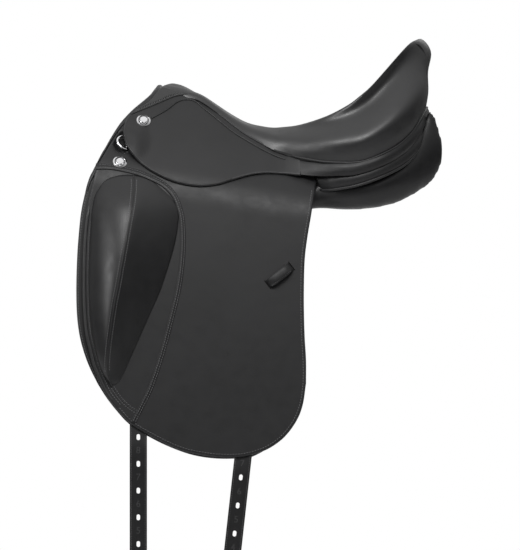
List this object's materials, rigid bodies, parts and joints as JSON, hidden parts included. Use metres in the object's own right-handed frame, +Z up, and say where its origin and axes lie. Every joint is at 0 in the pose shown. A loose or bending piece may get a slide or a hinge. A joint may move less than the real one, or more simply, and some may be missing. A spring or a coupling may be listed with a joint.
{
  "type": "english saddle",
  "caption": "Dressage saddle on a sprung tree, with a deep padded seat, long flaps, outside knee blocks, skirts over the stirrup bars and long girth billets",
  "frame": {"origin": "on the centreline, level with the lowest line of the rear panels, where the saddle bears on the back of the horse", "axes": "+X to the rear (cantle), +Y to the off (right) side, +Z up"},
  "size_m": [0.5451, 0.4656, 0.9506],
  "materials": {
    "leather_seat": "satin",
    "leather_flap": "grained satin",
    "leather_skirt": "smooth satin",
    "leather_panel": "soft satin",
    "leather_block": "grained satin",
    "leather_strap": "waxed",
    "leather_piping": "polished",
    "chrome": "polished",
    "steel": "brushed",
    "wood": "laminated, lacquered",
    "webbing": "woven flax",
    "foam": "foam",
    "flock": "wool flock"
  },
  "bodies": {
    "saddle": {"bar_rivets": "steel", "cantle_back": "leather_seat", "cantle_strip": "leather_skirt", "catch_pin_left": "steel", "catch_pin_right": "steel", "dee_chape_left": "leather_strap", "dee_chape_right": "leather_strap", "flap_head_left": "leather_flap", "flap_head_right": "leather_flap", "flap_stud_left": "chrome", "flap_stud_right": "chrome", "gullet_plate": "steel", "head_stud_left": "chrome", "head_stud_right": "chrome", "panel_cover_left": "leather_panel", "panel_cover_right": "leather_panel", "panel_flock_left": "flock", "panel_flock_right": "flock", "pommel_roll": "leather_piping", "rear_facing": "leather_skirt", "seat_cover": "leather_seat", "seat_foam": "foam", "seat_web_cross": "webbing", "seat_web_long": "webbing", "skirt_head_left": "leather_skirt", "skirt_head_right": "leather_skirt", "stirrup_bar_left": "steel", "stirrup_bar_right": "steel", "sweat_flap_left": "leather_panel", "sweat_flap_right": "leather_panel", "tree_cantle": "wood", "tree_head": "wood", "tree_rail_left": "wood", "tree_rail_right": "wood", "web_front_left": "webbing", "web_front_right": "webbing", "web_rear_left": "webbing", "web_rear_right": "webbing", "welt_piping": "leather_piping"},
    "catch_body_left": {"bar_catch_left": "steel"},
    "catch_body_right": {"bar_catch_right": "steel"},
    "front_billet_body_left": {"billet_front_left": "leather_strap"},
    "front_billet_body_right": {"billet_front_right": "leather_strap"},
    "rear_billet_body_left": {"billet_rear_left": "leather_strap"},
    "rear_billet_body_right": {"billet_rear_right": "leather_strap"},
    "ring_body_left": {"d_ring_left": "chrome"},
    "ring_body_right": {"d_ring_right": "chrome"},
    "flap_body_left": {"flap_left": "leather_flap", "knee_block_cover_left": "leather_block", "knee_block_foam_left": "foam", "leather_keeper_left": "leather_strap"},
    "flap_body_right": {"flap_right": "leather_flap", "knee_block_cover_right": "leather_block", "knee_block_foam_right": "foam", "leather_keeper_right": "leather_strap"},
    "skirt_body_left": {"skirt_left": "leather_skirt"},
    "skirt_body_right": {"skirt_right": "leather_skirt"}
  },
  "joints": [
    {"name": "flap_lift_right", "type": "hinge", "parent": "saddle", "child": "flap_body_right", "pos_m": [-0.08912, 0.13304, 0.03657], "axis": [0.9854, 0, -0.1702], "range_deg": [0, 70]},
    {"name": "skirt_lift_right", "type": "hinge", "parent": "saddle", "child": "skirt_body_right", "pos_m": [-0.10633, 0.08704, 0.1132], "axis": [0.9854, 0, -0.1702], "range_deg": [0, 55]},
    {"name": "catch_turn_right", "type": "hinge", "parent": "saddle", "child": "catch_body_right", "pos_m": [-0.07083, 0.07931, 0.10137], "axis": [-0.1, -0.809, -0.5792], "range_deg": [0, 55]},
    {"name": "ring_swing_right", "type": "hinge", "parent": "saddle", "child": "ring_body_right", "pos_m": [-0.19888, 0.09773, 0.10303], "axis": [-0.1377, 0.5878, -0.7972], "range_deg": [0, 25]},
    {"name": "front_billet_swing_right", "type": "hinge", "parent": "saddle", "child": "front_billet_body_right", "pos_m": [-0.182, 0.13575, 0.021], "axis": [0.0412, 0.9703, 0.2384], "range_deg": [-6, 8]},
    {"name": "rear_billet_swing_right", "type": "hinge", "parent": "saddle", "child": "rear_billet_body_right", "pos_m": [0.01473, 0.13428, -0.007], "axis": [0.0412, 0.9703, 0.2384], "range_deg": [-8, 6]},
    {"name": "flap_lift_left", "type": "hinge", "parent": "saddle", "child": "flap_body_left", "pos_m": [-0.08912, -0.13304, 0.03657], "axis": [-0.9854, 0, 0.1702], "range_deg": [0, 70]},
    {"name": "skirt_lift_left", "type": "hinge", "parent": "saddle", "child": "skirt_body_left", "pos_m": [-0.10633, -0.08704, 0.1132], "axis": [-0.9854, 0, 0.1702], "range_deg": [0, 55]},
    {"name": "catch_turn_left", "type": "hinge", "parent": "saddle", "child": "catch_body_left", "pos_m": [-0.07083, -0.07931, 0.10137], "axis": [0.1, -0.809, 0.5792], "range_deg": [0, 55]},
    {"name": "ring_swing_left", "type": "hinge", "parent": "saddle", "child": "ring_body_left", "pos_m": [-0.19888, -0.09773, 0.10303], "axis": [0.1377, 0.5878, 0.7972], "range_deg": [0, 25]},
    {"name": "front_billet_swing_left", "type": "hinge", "parent": "saddle", "child": "front_billet_body_left", "pos_m": [-0.182, -0.13575, 0.021], "axis": [-0.0412, 0.9703, -0.2384], "range_deg": [-6, 8]},
    {"name": "rear_billet_swing_left", "type": "hinge", "parent": "saddle", "child": "rear_billet_body_left", "pos_m": [0.01473, -0.13428, -0.007], "axis": [-0.0412, 0.9703, -0.2384], "range_deg": [-8, 6]}
  ]
}
